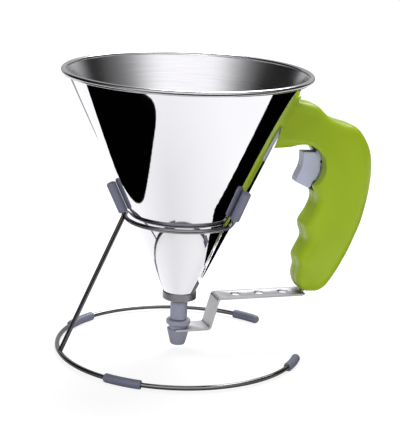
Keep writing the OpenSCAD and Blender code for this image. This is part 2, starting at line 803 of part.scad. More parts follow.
// ================================================================ closing arm and cap
module closing_arm() {
    rise = [
        [arm_tip, arm_z],
        [arm_low_end, arm_z],
        [arm_high_start, arm_high_z],
        [leg_x, arm_high_z],
        [leg_x, leg_top]
    ];
    middle = strip_middle(rise, arm_bend_r);
    slot_w = cap_neck_d + 2 * fork_play;
    leg_rise = leg_top - arm_high_z;
    color(steel_col)
        difference() {
            stand_up(arm_w) polygon(strip_outline(middle, arm_t));
            // Fork around the neck of the cap
            translate([0, 0, arm_z - arm_t]) cylinder(d = slot_w, h = 2 * arm_t);
            translate([-cap_d, -slot_w / 2, arm_z - arm_t]) cube([cap_d, slot_w, 2 * arm_t]);
            for (i = [0 : 2])
                translate([holes_x + i * arm_hole_pitch, 0, arm_high_z - arm_t])
                    cylinder(d = arm_hole_d, h = 2 * arm_t);
            // The upright end is narrower than the strip
            for (side = [-1, 1])
                translate([leg_x, side * (leg_w / 2 + arm_w), arm_high_z + arm_t / 2 + leg_rise])
                    cube([3 * arm_w, 2 * arm_w, 2 * leg_rise], center = true);
            for (side = [-1, 1])
                translate([leg_x, side * rivet_y, rivet_z])
                    rotate([0, 90, 0]) cylinder(d = rivet_d, h = 4 * arm_t, center = true);
        }
}

// Moulded rod in the grip: foot on the arm, stem through the guide, nose with the trigger's slot
module push_rod() {
    foot_front = leg_x - hx + arm_t / 2;
    elbow_low = -37;
    elbow_high = -24;
    color(white_col)
        in_handle()
            difference() {
                union() {
                    translate([foot_front, -rod_w / 2, foot_top - foot_h])
                        cube([foot_back - foot_front, rod_w, foot_h]);
                    translate([rod_x, 0, foot_top - foot_h / 2])
                        cylinder(d = stem_d, h = flange_z - foot_top + foot_h / 2 + flange_t);
                    translate([rod_x, 0, flange_z]) cylinder(d = flange_d, h = flange_t);
                    stand_up(nose_w)
                        polygon([
                            [rod_x - 2.5, flange_z + flange_t / 2],
                            [rod_x + 2.5, flange_z + flange_t / 2],
                            [column_back, elbow_high - 2],
                            [column_back, nose_top],
                            [drive_rest[0] - 3.3, nose_top - 1.5],
                            [drive_rest[0] - 3.3, nose_low + 1.5],
                            [drive_rest[0] - 2.3, nose_low],
                            [column_front, nose_low],
                            [column_front, elbow_high],
                            [rod_x - 2.5, elbow_low + 2]
                        ]);
                }
                hull() {
                    across(drive_rest, slot_d, -rod_w, rod_w, 32);
                    across(drive_rest + slot_run, slot_d, -rod_w, rod_w, 32);
                }
                for (side = [-1, 1])
                    translate([foot_front - 1, side * rivet_y, rivet_z - hz])
                        rotate([0, 90, 0]) cylinder(d = rivet_d, h = 6);
            }
}

module arm_rivets() {
    head = 0.7;
    color(steel_col)
        for (side = [-1, 1])
            translate([leg_x - arm_t / 2, side * rivet_y, rivet_z])
                rotate([0, 90, 0]) {
                    cylinder(d = rivet_d - 2 * eps, h = arm_t + 4.8);
                    translate([0, 0, -head]) cylinder(d = rivet_d + 1.2, h = head);
                }
}

module nozzle_cap() {
    foot_top_z = cap_z + cap_foot_h;
    flange_low = cap_top - cap_flange_h;
    tip_round = 1.2;
    groove_r = seal_r + seal_d / 2;
    color(lilac_col)
        rotate_extrude($fn = 96)
            polygon([
                [outlet_d / 2, cap_z],
                [cap_tip_d / 2 - tip_round, cap_z],
                [cap_tip_d / 2 - tip_round * 0.3, cap_z + tip_round * 0.3],
                [cap_tip_d / 2, cap_z + tip_round],
                [cap_foot_d / 2, foot_top_z],
                [cap_neck_d / 2, foot_top_z],
                [cap_neck_d / 2, flange_low],
                [cap_d / 2 - 0.5, flange_low],
                [cap_d / 2, flange_low + 0.5],
                [cap_d / 2, cap_top - 0.6],
                [cap_d / 2 - 0.6, cap_top],
                [cap_bore / 2, cap_top],
                [cap_bore / 2, seal_z + seal_d / 2],
                [groove_r, seal_z + seal_d / 2],
                [groove_r, seal_z - seal_d / 2],
                [cap_bore / 2, seal_z - seal_d / 2],
                [cap_bore / 2, cap_z + cap_floor + 1.4],
                [outlet_d / 2, cap_z + cap_floor]
            ]);
}

module cap_seal() {
    color(rubber_col)
        translate([0, 0, seal_z])
            rotate_extrude($fn = 96) translate([seal_r, 0]) circle(d = seal_d - 2 * eps, $fn = 32);
}

base_hoop();
leg_wire();
support_ring();
foot_sleeve_near();
foot_sleeve_far();
end_cap_near();
end_cap_far();
prong_sleeve_leg();
prong_sleeve_near();
prong_sleeve_far();
funnel_cone();
outlet_collar();
collar_gasket();
nozzle_tube();
valve_needle();
handle_bracket();
handle_shell_near();
handle_shell_far();
shell_screws();
guide_block();
guide_screw();
return_spring();
trigger_pin();
trigger();
drive_pin();
closing_arm();
push_rod();
arm_rivets();
nozzle_cap();
cap_seal();
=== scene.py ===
import math

import bpy
from mathutils import Matrix, Vector


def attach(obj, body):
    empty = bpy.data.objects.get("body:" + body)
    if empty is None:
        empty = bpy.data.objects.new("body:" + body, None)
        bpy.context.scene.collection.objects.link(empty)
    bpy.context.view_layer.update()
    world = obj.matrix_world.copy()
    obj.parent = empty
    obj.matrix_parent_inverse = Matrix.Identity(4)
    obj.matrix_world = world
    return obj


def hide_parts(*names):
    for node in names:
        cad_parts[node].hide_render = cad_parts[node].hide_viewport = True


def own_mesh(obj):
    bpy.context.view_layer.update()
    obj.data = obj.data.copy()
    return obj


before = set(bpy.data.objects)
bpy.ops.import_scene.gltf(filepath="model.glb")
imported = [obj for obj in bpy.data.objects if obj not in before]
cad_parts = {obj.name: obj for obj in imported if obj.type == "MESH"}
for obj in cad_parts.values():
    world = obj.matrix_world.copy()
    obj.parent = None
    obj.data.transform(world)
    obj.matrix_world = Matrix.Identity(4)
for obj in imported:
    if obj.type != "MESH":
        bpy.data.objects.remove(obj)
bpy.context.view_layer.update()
mm = 0.001


# Base hoop: a ring of stainless wire that lies flat and is left open under the handle.
# Cut from bright-drawn wire, rolled round and polished; its ends go into soft caps.
wire_d = 3.0
hoop_r = 79.2
hoop_z = 2.9
hoop_open = math.radians(63)
hoop_steps = 220
# Painted shade: the polished steel gets a dark colour, so that the wires show dark between their
# glints, standing in for the dark surroundings they reflect
wire_painted_dark_colour = (0.24, 0.24, 0.255, 1)


def start_piece(name):
    """The piece just added gets its name, and its place goes into its mesh."""
    piece = bpy.context.object
    piece.name = name
    bpy.ops.object.transform_apply(location=True, rotation=True, scale=True)
    bpy.ops.object.mode_set(mode="EDIT")
    bpy.ops.mesh.select_all(action="SELECT")
    return piece


def finish_piece(piece, sharp_angle=35):
    """Loose points go, normals face outwards, and only real edges stay sharp."""
    bpy.ops.object.mode_set(mode="EDIT")
    bpy.ops.mesh.select_all(action="SELECT")
    bpy.ops.mesh.remove_doubles(threshold=0.002 * mm)
    bpy.ops.mesh.normals_make_consistent(inside=False)
    bpy.ops.object.mode_set(mode="OBJECT")
    bpy.ops.object.shade_smooth_by_angle(angle=math.radians(sharp_angle))
    return piece


def wire_end(name, diameter, place, sides=24):
    """The round end of a wire; place turns the wire's own Z to the way it runs."""
    bpy.ops.object.select_all(action="DESELECT")
    bpy.ops.mesh.primitive_circle_add(
        vertices=sides,
        radius=diameter / 2 * mm,
        fill_type="NGON",
        location=place.to_translation(),
        rotation=place.to_euler(),
    )
    return start_piece(name)


def bend_on(angle, centre, axis, steps):
    """The selected end is swept on by an angle, counted by the right-hand rule."""
    bpy.ops.mesh.spin(steps=steps, angle=-angle, center=centre, axis=axis)


def run_on(move):
    """The selected end is drawn straight on."""
    bpy.ops.mesh.extrude_region_move(TRANSFORM_OT_translate={"value": move})


def new_finish(name):
    """An empty finish: the material, its node tree and its shader."""
    finish = bpy.data.materials.new(name)
    finish.use_nodes = True
    return finish, finish.node_tree, finish.node_tree.nodes["Principled BSDF"]


def noise_at(tree, place, scale, detail):
    """Noise over a place on the piece, with scale in waves per metre."""
    noise = tree.nodes.new("ShaderNodeTexNoise")
    noise.inputs["Scale"].default_value = scale
    noise.inputs["Detail"].default_value = detail
    tree.links.new(place, noise.inputs["Vector"])
    return noise


def vary_shine(tree, noise, rough_low, rough_high):
    """The roughness wanders with the noise."""
    shine = tree.nodes.new("ShaderNodeMapRange")
    shine.inputs["To Min"].default_value = rough_low
    shine.inputs["To Max"].default_value = rough_high
    tree.links.new(noise.outputs["Fac"], shine.inputs["Value"])
    tree.links.new(shine.outputs["Result"], tree.nodes["Principled BSDF"].inputs["Roughness"])


def raise_grain(tree, noise, strength, depth):
    """The surface rises and falls with the noise, by a depth in millimetres."""
    grain = tree.nodes.new("ShaderNodeBump")
    grain.inputs["Strength"].default_value = strength
    grain.inputs["Distance"].default_value = depth * mm
    tree.links.new(noise.outputs["Fac"], grain.inputs["Height"])
    tree.links.new(grain.outputs["Normal"], tree.nodes["Principled BSDF"].inputs["Normal"])


def smeared_steel(name, colour, rough_low, rough_high):
    """Steel with a little smear in its shine, and the place that patterns on it read."""
    steel, tree, shader = new_finish(name)
    shader.inputs["Base Color"].default_value = colour
    shader.inputs["Metallic"].default_value = 1.0
    place = tree.nodes.new("ShaderNodeTexCoord").outputs["Object"]
    vary_shine(tree, noise_at(tree, place, 55.0, 4.0), rough_low, rough_high)
    return steel, tree, place


def wire_steel(name, colour, rough_low, rough_high, scratch):
    """Polished steel with faint scratches."""
    steel, tree, place = smeared_steel(name, colour, rough_low, rough_high)
    raise_grain(tree, noise_at(tree, place, 1400.0, 2.0), scratch, 0.01)
    return steel


drawn_steel = wire_steel("drawn_wire_painted_dark", wire_painted_dark_colour, 0.04, 0.10, 0.2)

hoop_start = (
    Matrix.Rotation(hoop_open / 2, 4, "Z")
    @ Matrix.Translation((hoop_r * mm, 0, hoop_z * mm))
    @ Matrix.Rotation(-math.pi / 2, 4, "X")
)
hoop = wire_end("hoop_wire", wire_d, hoop_start)
bend_on(math.tau - hoop_open, (0, 0, 0), (0, 0, 1), hoop_steps)
finish_piece(hoop)
hoop.data.materials.append(drawn_steel)
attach(hoop, "stand")
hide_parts("base_hoop")


# Leg: one straight wire from the hoop up to the ring, where it bends outwards and runs
# on behind the cone as a prong. It is welded to the hoop at its foot and to the ring.
cone_foot_z = 40.2
cone_foot_r = 10.5
cone_slope = 0.465278
cone_lean = math.atan(cone_slope)
ring_z = 90.0
prong_gap = 3.15 / math.cos(cone_lean)
ring_bend = 5.0
leg_bend = 4.5
bend_steps = 12
weld_gap = 0.01
sleeve_low_z = 95.0
sleeve_length = 21.0
sleeve_end_wall = 1.2
# Painted shade: the leg is the same steel as the other wires, given a darker colour so that it shows
# nearly black, standing in for the dark side it reflects
leg_painted_dark_colour = (0.12, 0.12, 0.13, 1)


def cone_radius(z):
    return cone_foot_r + cone_slope * (z - cone_foot_z)


prong_x = cone_radius(ring_z) + prong_gap
ring_r = math.sqrt(prong_x**2 - ring_bend**2)
leg_away = math.hypot(ring_r - hoop_r, ring_z - hoop_z)
leg_course = math.atan2(ring_z - hoop_z, ring_r - hoop_r) - math.asin((wire_d + weld_gap) / leg_away)
leg_tilt = 1 / math.tan(leg_course)
corner_z = (hoop_r - leg_tilt * hoop_z - cone_radius(0) - prong_gap) / (cone_slope - leg_tilt)
corner_r = cone_radius(corner_z) + prong_gap
leg_length = math.hypot(hoop_r - corner_r, corner_z - hoop_z)
leg_lean = math.atan2(hoop_r - corner_r, corner_z - hoop_z)
half_turn = (leg_lean + cone_lean) / 2
bend_cut = leg_bend * math.tan(half_turn)
prong_stop = (sleeve_low_z - corner_z) / math.cos(cone_lean) + sleeve_length - sleeve_end_wall

leg_start = Matrix.Translation((-hoop_r * mm, 0, hoop_z * mm)) @ Matrix.Rotation(leg_lean, 4, "Y")
leg_up = leg_start.to_3x3() @ Vector((0, 0, 1))
prong_up = Vector((-math.sin(cone_lean), 0, math.cos(cone_lean)))
corner = Vector((-corner_r, 0, corner_z))
bend_side = Vector((-math.cos(cone_lean), 0, -math.sin(cone_lean)))
bend_centre = corner + prong_up * bend_cut + bend_side * leg_bend
leg = wire_end("leg_and_prong_wire", wire_d, leg_start)
run_on(leg_up * (leg_length - bend_cut) * mm)
bend_on(-2 * half_turn, bend_centre * mm, (0, 1, 0), bend_steps)
run_on(prong_up * (prong_stop - bend_cut) * mm)
finish_piece(leg)
leg.data.materials.append(wire_steel("leg_steel_painted_darker", leg_painted_dark_colour, 0.04, 0.10, 0.2))
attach(leg, "stand")
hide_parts("leg_wire")


# Support ring: one wire around the cone, open towards the handle so that the closing arm
# can be lifted out through it. Both ends turn up along the cone as free prongs.
prong_az = math.radians(50)
ring_end = prong_az + math.asin(ring_bend / prong_x)
ring_steps = 140
free_prong = (sleeve_low_z - ring_z) / math.cos(cone_lean) + sleeve_length - sleeve_end_wall
straight = free_prong - ring_bend


def on_ring(direction, radius):
    """A place at the ring's height, with Z up along the cone."""
    return (
        Matrix.Rotation(direction, 4, "Z")
        @ Matrix.Translation((radius * mm, 0, ring_z * mm))
        @ Matrix.Rotation(cone_lean, 4, "Y")
    )


def bend_at(end):
    """A quarter turn between the ring and one of its prongs."""
    centre = end @ Vector((0, 0, ring_bend * mm))
    bend_on(-math.pi / 2, centre, end.to_3x3() @ Vector((1, 0, 0)), bend_steps)


near_end = on_ring(-ring_end, ring_r)
far_end = on_ring(ring_end, ring_r)
near_tip = near_end @ Matrix.Translation((0, ring_bend * mm, free_prong * mm))
ring = wire_end("ring_and_prongs_wire", wire_d, near_tip @ Matrix.Rotation(math.pi, 4, "X"))
run_on(near_end.to_3x3() @ Vector((0, 0, -straight * mm)))
bend_at(near_end)
bend_on(-(math.tau - 2 * ring_end), (0, 0, 0), (0, 0, 1), ring_steps)
bend_at(far_end)
run_on(far_end.to_3x3() @ Vector((0, 0, straight * mm)))
finish_piece(ring)
ring.data.materials.append(drawn_steel)
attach(ring, "stand")
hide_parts("support_ring")


# Soft sleeves and caps: moulded lilac-grey plastic tubes pushed onto the wires by hand.
# Two stand under the hoop, two close its ends, and three hold the cone on the prongs.
sleeve_r = 2.9
prong_sleeve_r = 3.05
foot_length = math.radians(18)
foot_az = math.radians(48.5)
cap_length = math.radians(13)
cap_cover = math.radians(1)
cap_nose_steps = 7
sleeve_sides = 32
hoop_sleeve_round = 0.7
prong_sleeve_round = 0.9
sleeve_colour = (0.148, 0.153, 0.216, 1)


def vary_tint(tree, noise, colour, darkest, lightest):
    """The colour wanders with the noise, between two shares of itself."""
    tint = tree.nodes.new("ShaderNodeValToRGB")
    for stop, position, share in zip(tint.color_ramp.elements, (0.3, 0.7), (darkest, lightest)):
        stop.position = position
        stop.color = [min(1, level * share) for level in colour[:3]] + [1]
    tree.links.new(noise.outputs["Fac"], tint.inputs["Fac"])
    tree.links.new(tint.outputs["Color"], tree.nodes["Principled BSDF"].inputs["Base Color"])


def soft_plastic(name, colour, rough_low, rough_high, grain, grain_depth):
    """Moulded plastic: a fine grain from the mould and a slight unevenness of tint."""
    plastic, tree, shader = new_finish(name)
    shader.inputs["Specular IOR Level"].default_value = 0.5
    place = tree.nodes.new("ShaderNodeTexCoord").outputs["Object"]
    cloud = noise_at(tree, place, 30.0, 3.0)
    vary_tint(tree, cloud, colour, 0.95, 1.05)
    vary_shine(tree, cloud, rough_low, rough_high)
    raise_grain(tree, noise_at(tree, place, 1000.0 / grain, 3.0), 0.5, grain_depth)
    return plastic


def round_edges(piece, width, segments=3, angle=35):
    """A small radius on every sharp edge."""
    rounding = piece.modifiers.new("edge_radius", "BEVEL")
    rounding.width = width * mm
    rounding.segments = segments
    rounding.limit_method = "ANGLE"
    rounding.angle_limit = math.radians(angle)
    bpy.ops.object.modifier_apply(modifier=rounding.name)


sleeve_plastic = soft_plastic("sleeve_plastic", sleeve_colour, 0.38, 0.5, 0.35, 0.02)


def fit_sleeve(sleeve, node, rounding):
    """The ends are rounded, and the sleeve goes onto the stand."""
    finish_piece(sleeve, 50)
    round_edges(sleeve, rounding, 4, 60)
    bpy.ops.object.shade_smooth_by_angle(angle=math.radians(40))
    sleeve.data.materials.append(sleeve_plastic)
    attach(sleeve, "stand")
    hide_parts(node)


def along_hoop(direction, side=-1):
    """A place on the hoop's wire, with Z the way round it."""
    return (
        Matrix.Rotation(direction, 4, "Z")
        @ Matrix.Translation((hoop_r * mm, 0, hoop_z * mm))
        @ Matrix.Rotation(side * math.pi / 2, 4, "X")
    )


def foot_sleeve(name, node, middle):
    sleeve = wire_end(name, 2 * sleeve_r, along_hoop(middle - foot_length / 2), sleeve_sides)
    bend_on(foot_length, (0, 0, 0), (0, 0, 1), 20)
    fit_sleeve(sleeve, node, hoop_sleeve_round)


foot_sleeve("near_foot_sleeve", "foot_sleeve_near", math.pi + foot_az)
foot_sleeve("far_foot_sleeve", "foot_sleeve_far", math.pi - foot_az)


def join_faces(piece, other):
    """Two pieces that share a face become one: the face goes and its points merge."""
    bpy.ops.object.mode_set(mode="OBJECT")
    piece.select_set(True)
    other.select_set(True)
    bpy.context.view_layer.objects.active = piece
    bpy.ops.object.join()
    bpy.ops.object.mode_set(mode="EDIT")
    bpy.ops.mesh.select_all(action="SELECT")
    bpy.ops.mesh.remove_doubles(threshold=0.005 * mm)
    bpy.ops.mesh.select_mode(type="FACE")
    bpy.ops.mesh.select_all(action="DESELECT")
    bpy.ops.mesh.select_interior_faces()
    bpy.ops.mesh.delete(type="FACE")
    bpy.ops.mesh.select_mode(type="VERT")
    bpy.ops.object.mode_set(mode="OBJECT")


def end_cap(name, node, side):
    """A closed cap: its nose is drawn on from the last ring in steps that grow narrower."""
    mouth = along_hoop(side * (hoop_open / 2 - cap_cover), side)
    cap = wire_end(name, 2 * sleeve_r, mouth, sleeve_sides)
    nose_way = mouth.to_3x3() @ Vector((0, 0, 1))
    centre = Vector(mouth.to_translation())
    was = 1.0
    for step in range(1, cap_nose_steps):
        angle = math.pi / 2 * step / cap_nose_steps
        ahead = sleeve_r * mm * (math.sin(angle) - math.sin(math.pi / 2 * (step - 1) / cap_nose_steps))
        run_on(nose_way * ahead)
        now = math.cos(angle)
        centre = centre + nose_way * ahead
        bpy.ops.transform.resize(value=(now / was,) * 3, center_override=centre)
        was = now
    bpy.ops.object.mode_set(mode="OBJECT")
    body = wire_end(name + "_body", 2 * sleeve_r, mouth, sleeve_sides)
    bend_on(side * cap_length, (0, 0, 0), (0, 0, 1), 16)
    join_faces(cap, body)
    fit_sleeve(cap, node, hoop_sleeve_round)


end_cap("near_end_cap", "end_cap_near", -1)
end_cap("far_end_cap", "end_cap_far", 1)


def prong_sleeve(name, node, foot):
    """foot is where the sleeve starts, with Z along the prong."""
    sleeve = wire_end(name, 2 * prong_sleeve_r, foot, sleeve_sides)
    run_on(foot.to_3x3() @ Vector((0, 0, sleeve_length * mm)))
    fit_sleeve(sleeve, node, prong_sleeve_round)


sleeve_up = (sleeve_low_z - ring_z) / math.cos(cone_lean) * mm
leg_foot = on_ring(math.pi, prong_x) @ Matrix.Translation((0, 0, sleeve_up))
near_foot = near_end @ Matrix.Translation((0, ring_bend * mm, sleeve_up))
far_foot = far_end @ Matrix.Translation((0, -ring_bend * mm, sleeve_up))
prong_sleeve("leg_prong_sleeve", "prong_sleeve_leg", leg_foot)
prong_sleeve("near_prong_sleeve", "prong_sleeve_near", near_foot)
prong_sleeve("far_prong_sleeve", "prong_sleeve_far", far_foot)


# Funnel cone: stainless sheet rolled to a cone and welded, polished outside like a mirror
# and brushed around inside. Its rim is rolled over into a round bead.
cone_wall = 0.9
rim_z = 185.9
bead_r = 1.7
bead_ring_r = 78.3
round_steps = 256
mirror_colour = (0.80, 0.79, 0.82, 1)
brushed_colour = (0.74, 0.73, 0.76, 1)
# Painted shade: the bead is the rim of the same mirror sheet, given a darker colour so that it
# reflects darker, standing in for dark surroundings
bead_painted_dark_colour = (0.54, 0.54, 0.555, 1)


def drawn_outline(name, points):
    """One point extruded from corner to corner in the XZ plane, as with a pencil."""
    bpy.ops.object.select_all(action="DESELECT")
    bpy.ops.mesh.primitive_plane_add(size=mm)
    piece = start_piece(name)
    bpy.ops.mesh.merge(type="CENTER")
    at = Vector((points[0][0] * mm, 0, points[0][1] * mm))
    bpy.ops.transform.translate(value=at)
    for x, z in points[1:]:
        to = Vector((x * mm, 0, z * mm))
        run_on(to - at)
        at = to
    bpy.ops.mesh.select_all(action="SELECT")
    return piece


def turned_piece(name, points, sharp_angle=35, steps=160):
    """A closed outline turned once round the funnel's axis, as on a lathe."""
    piece = drawn_outline(name, [*points, points[0]])
    bend_on(math.tau, (0, 0, 0), (0, 0, 1), steps)
    return finish_piece(piece, sharp_angle)


def brushed_steel(name, colour, rough_low, rough_high, line_pitch, line_depth, around=True):
    """Steel with fine lines left by the belt: around the axis, or along X."""
    steel, tree, place = smeared_steel(name, colour, rough_low, rough_high)
    nodes, links = tree.nodes, tree.links
    parts = nodes.new("ShaderNodeSeparateXYZ")
    links.new(place, parts.inputs["Vector"])
    line_place = nodes.new("ShaderNodeCombineXYZ")
    fine = 1000.0 / line_pitch
    if around:
        flat = nodes.new("ShaderNodeCombineXYZ")
        links.new(parts.outputs["X"], flat.inputs["X"])
        links.new(parts.outputs["Y"], flat.inputs["Y"])
        way = nodes.new("ShaderNodeVectorMath")
        way.operation = "NORMALIZE"
        links.new(flat.outputs["Vector"], way.inputs[0])
        way_parts = nodes.new("ShaderNodeSeparateXYZ")
        links.new(way.outputs["Vector"], way_parts.inputs["Vector"])
        sources = (way_parts.outputs["X"], way_parts.outputs["Y"], parts.outputs["Z"])
        scales = (2.5, 2.5, fine)
    else:
        sources = (parts.outputs["X"], parts.outputs["Y"], parts.outputs["Z"])
        scales = (60.0, fine, fine)
    for source, scale, socket in zip(sources, scales, ("X", "Y", "Z")):
        stretch = nodes.new("ShaderNodeMath")
        stretch.operation = "MULTIPLY"
        stretch.inputs[1].default_value = scale
        links.new(source, stretch.inputs[0])
        links.new(stretch.outputs["Value"], line_place.inputs[socket])
    lines = noise_at(tree, line_place.outputs["Vector"], 1.0, 5.0)
    lines.inputs["Roughness"].default_value = 0.6
    raise_grain(tree, lines, 0.6, line_depth)
    vary_tint(tree, lines, colour, 0.9, 1.04)
    return steel


mirror_steel = wire_steel("mirror_polished_steel", mirror_colour, 0.015, 0.05, 0.03)
cone_inside_steel = brushed_steel("cone_brushed_inside", brushed_colour, 0.16, 0.23, 0.35, 0.012)
inside_tree = cone_inside_steel.node_tree
inside_shader = inside_tree.nodes["Principled BSDF"]
inside_shader.inputs["Anisotropic"].default_value = 0.75
lathe_way = inside_tree.nodes.new("ShaderNodeTangent")
lathe_way.direction_type = "RADIAL"
lathe_way.axis = "Z"
inside_tree.links.new(lathe_way.outputs["Tangent"], inside_shader.inputs["Tangent"])

sheet_level = cone_wall / math.cos(cone_lean)
bead_z = rim_z - bead_r
sheet_top_z = bead_z - 0.3
cone = turned_piece(
    "cone_sheet",
    [
        (cone_foot_r - sheet_level, cone_foot_z),
        (cone_foot_r, cone_foot_z),
        (cone_radius(sheet_top_z), sheet_top_z),
        (cone_radius(sheet_top_z) - sheet_level, sheet_top_z),
    ],
    steps=round_steps,
)
cone.data.materials.append(mirror_steel)
cone.data.materials.append(cone_inside_steel)
for face in cone.data.polygons:
    face.material_index = 1 if face.normal.z > 0.1 else 0
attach(cone, "funnel")
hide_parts("funnel_cone")

bpy.ops.object.select_all(action="DESELECT")
bpy.ops.mesh.primitive_torus_add(
    major_segments=round_steps,
    minor_segments=28,
    major_radius=bead_ring_r * mm,
    minor_radius=bead_r * mm,
    location=(0, 0, bead_z * mm),
)
bead = finish_piece(start_piece("rolled_rim_bead"), 60)
bead.data.materials.append(wire_steel("rolled_bead_steel_painted_dark", bead_painted_dark_colour, 0.16, 0.26, 0.1))
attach(bead, "funnel")


# Outlet collar: a ring turned from stainless bar and welded under the cone. The nozzle
# tube screws into it against a thin gasket under the collar's lip.
collar_z = 33.8
collar_r = 11.05
collar_chamfer = 1.8
thread_r = 6.4
lip_z = cone_foot_z - 1.7
tube_bore_r = 3.2
lip_bore_r = tube_bore_r + 0.6
satin_colour = (0.30, 0.30, 0.31, 1)
seal_colour = (0.035, 0.036, 0.04, 1)
collar = turned_piece(
    "collar_ring",
    [
        (thread_r, collar_z),
        (thread_r + 0.8, collar_z),
        (collar_r, collar_z + collar_chamfer),
        (collar_r, cone_foot_z),
        (cone_foot_r - sheet_level, cone_foot_z),
        (lip_bore_r, lip_z + 0.3),
        (lip_bore_r, lip_z),
        (thread_r, lip_z),
    ],
)
round_edges(collar, 0.25)
collar.data.materials.append(brushed_steel("satin_turned_steel", satin_colour, 0.3, 0.42, 0.25, 0.01))
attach(collar, "funnel")
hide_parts("outlet_collar")


def repaint(finish, *nodes):
    """CAD nodes whose shape is right get their finish."""
    for node in nodes:
        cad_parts[node].data.materials.clear()
        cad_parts[node].data.materials.append(finish)


seal_rubber = soft_plastic("seal_rubber", seal_colour, 0.55, 0.7, 0.3, 0.02)
repaint(seal_rubber, "collar_gasket", "cap_seal")


# Nozzle tube and needle: a turned lilac-grey plastic tube, screwed into the collar, with
# the spigot that the cap slides on. The steel needle in it closes the cap's outlet.
shoulder_z = 21.3
tube_low_z = 9.6
tube_r = 5.6
spigot_r = 4.2
tube_top_z = lip_z - 0.8
screwed_r = thread_r - 0.02
lilac_colour = (0.30, 0.305, 0.40, 1)
needle_colour = (0.62, 0.62, 0.64, 1)
nozzle_plastic = soft_plastic("nozzle_plastic", lilac_colour, 0.3, 0.4, 0.5, 0.015)
tube = turned_piece(
    "nozzle_tube_body",
    [
        (tube_bore_r, tube_low_z),
        (spigot_r - 0.4, tube_low_z),
        (spigot_r, tube_low_z + 0.8),
        (spigot_r, shoulder_z),
        (tube_r, shoulder_z),
        (tube_r, collar_z + 0.3),
        (screwed_r, collar_z + 0.7),
        (screwed_r, tube_top_z),
        (tube_bore_r, tube_top_z),
    ],
)
round_edges(tube, 0.2)
tube.data.materials.append(nozzle_plastic)
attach(tube, "funnel")
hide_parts("nozzle_tube")
repaint(brushed_steel("turned_needle_steel", needle_colour, 0.2, 0.3, 0.2, 0.006), "valve_needle")


# Inner works: bracket spot-welded to the cone, pins, screws and rivets of steel, push rod
# and guide block moulded in white plastic. All but the screw heads are hidden.
stamped_colour = (0.58, 0.58, 0.6, 1)
pin_colour = (0.62, 0.62, 0.64, 1)
works_white = (0.68, 0.68, 0.66, 1)
works_steel = brushed_steel("stamped_steel", stamped_colour, 0.3, 0.4, 0.4, 0.01, around=False)
pin_steel = wire_steel("pin_steel", pin_colour, 0.18, 0.3, 0.3)
works_plastic = soft_plastic("works_plastic", works_white, 0.4, 0.5, 0.6, 0.02)
repaint(works_steel, "handle_bracket")
repaint(pin_steel, "shell_screws", "guide_screw", "trigger_pin", "drive_pin", "arm_rivets")
repaint(works_plastic, "push_rod", "guide_block")


# Closing arm: a strip of brushed stainless, bent twice, forked around the cap's neck and
# pierced by three round holes. Its narrow end turns up into the grip and is riveted there.
arm_z = 14.9
arm_high_z = 35.3
arm_t = 1.4
arm_w = 16.5
arm_tip_x = -4.0
arm_rise = (19.5, 25.0)
arm_bend_r = 2.2
tongue_x = 85.2
tongue_w = 8.0
tongue_top_z = 49.6
arm_holes = (38.8, 55.4, 72.0)
arm_hole_d = 7.0
fork_slot_r = 6.25
tool_over = 3.0
tongue_saw_reach = 9.0
tongue_saw_top_z = 60.0
strip_colour = (0.57, 0.565, 0.59, 1)


def bent_line(points, radius, steps=6):
    """The points of a path whose corners are rounded with one radius."""
    line = [Vector(points[0])]
    for a, b, c in zip(points, points[1:], points[2:]):
        a, b, c = Vector(a), Vector(b), Vector(c)
        u, v = (b - a).normalized(), (c - b).normalized()
        turn = math.atan2(u.x * v.y - u.y * v.x, u.dot(v))
        side = math.copysign(1, turn)
        start = b - u * radius * math.tan(abs(turn) / 2)
        centre = start + side * radius * Vector((-u.y, u.x))
        for step in range(steps + 1):
            spoke = Matrix.Rotation(turn * step / steps, 2) @ (start - centre)
            line.append(centre + spoke)
    line.append(Vector(points[-1]))
    return line


def strip_outline(line, thickness):
    """Both edges of a strip that follows a line."""
    left, right = [], []
    for i, point in enumerate(line):
        before = (point - line[i - 1]).normalized() if i else None
        after = (line[i + 1] - point).normalized() if i + 1 < len(line) else None
        way = ((before or after) + (after or before)).normalized()
        across = Vector((-way.y, way.x))
        left.append(point + across * thickness / 2)
        right.append(point - across * thickness / 2)
    return [*left, *reversed(right)]


def filled_prism(name, points, width):
    """A closed outline filled, moved to one side and drawn out across the width."""
    piece = drawn_outline(name, [*points, points[0]])
    bpy.ops.mesh.remove_doubles(threshold=0.001 * mm)
    bpy.ops.mesh.edge_face_add()
    bpy.ops.transform.translate(value=(0, -width / 2 * mm, 0))
    run_on(Vector((0, width * mm, 0)))
    return finish_piece(piece)


def combine(piece, other, way):
    """The other piece is cut out, grown on or kept in common, and goes."""
    bpy.ops.object.select_all(action="DESELECT")
    bpy.context.view_layer.objects.active = piece
    meeting = piece.modifiers.new("meeting", "BOOLEAN")
    meeting.operation = way
    meeting.solver = "EXACT"
    meeting.object = other
    bpy.ops.object.modifier_apply(modifier=meeting.name)
    bpy.data.objects.remove(other)


def cut_away(piece, *cutters):
    """Each cutter is taken out of the piece."""
    for cutter in cutters:
        combine(piece, cutter, "DIFFERENCE")


def round_bar(name, diameter, start, end, sides=48):
    """A plain round bar between two points: a drill, a boss or a pin."""
    start, end = Vector(start) * mm, Vector(end) * mm
    place = Matrix.Translation(start) @ (end - start).to_track_quat("Z", "Y").to_matrix().to_4x4()
    bar = wire_end(name, diameter, place, sides)
    run_on(end - start)
    return finish_piece(bar)


def block(name, low, high):
    """A plain block between two corners."""
    low, high = Vector(low) * mm, Vector(high) * mm
    bpy.ops.object.select_all(action="DESELECT")
    bpy.ops.mesh.primitive_cube_add(size=1, location=(low + high) / 2, scale=high - low)
    return finish_piece(start_piece(name))


